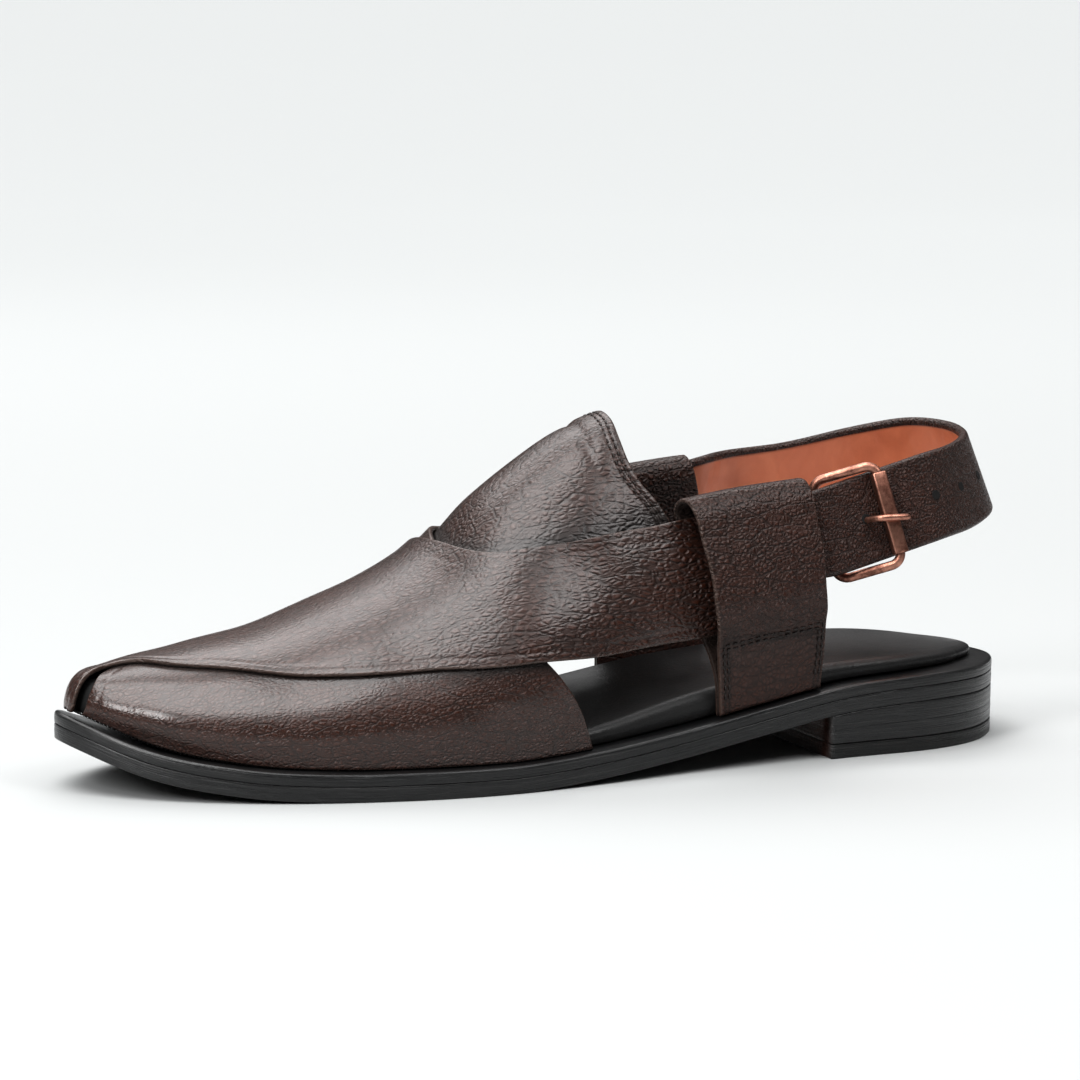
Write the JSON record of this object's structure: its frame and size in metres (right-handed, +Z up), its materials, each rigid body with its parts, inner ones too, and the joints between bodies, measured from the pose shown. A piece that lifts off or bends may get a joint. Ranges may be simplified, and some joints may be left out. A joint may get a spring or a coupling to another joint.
{
  "type": "peshawari chappal",
  "caption": "Left closed-front sandal: crossed vamp bands, instep tongue, two side loops and a buckled heel strap on a low heeled sole.",
  "frame": {"origin": "on the floor, under the middle of the shoe's bounding box", "axes": "toe along -X, heel along +X; outer (lateral) side of the foot along -Y; +Z up"},
  "size_m": [0.296, 0.0986, 0.1004],
  "materials": {
    "sole_edge": "painted black, semi-gloss",
    "heel_rubber": "matte",
    "insole_leather": "smooth, soft sheen",
    "brown_leather": "pebbled, waxed",
    "aged_copper": "antique copper plating"
  },
  "bodies": {
    "root": {"outsole": "sole_edge", "midsole": "sole_edge", "heel_stack": "sole_edge", "heel_top_piece": "heel_rubber", "insole": "insole_leather", "upper": "brown_leather", "tongue": "brown_leather", "side_strap_lateral": "brown_leather", "side_strap_medial": "brown_leather", "heel_strap": "brown_leather", "buckle_tab": "brown_leather", "buckle_frame": "aged_copper", "buckle_roller": "aged_copper", "buckle_prong": "aged_copper"}
  },
  "joints": []
}
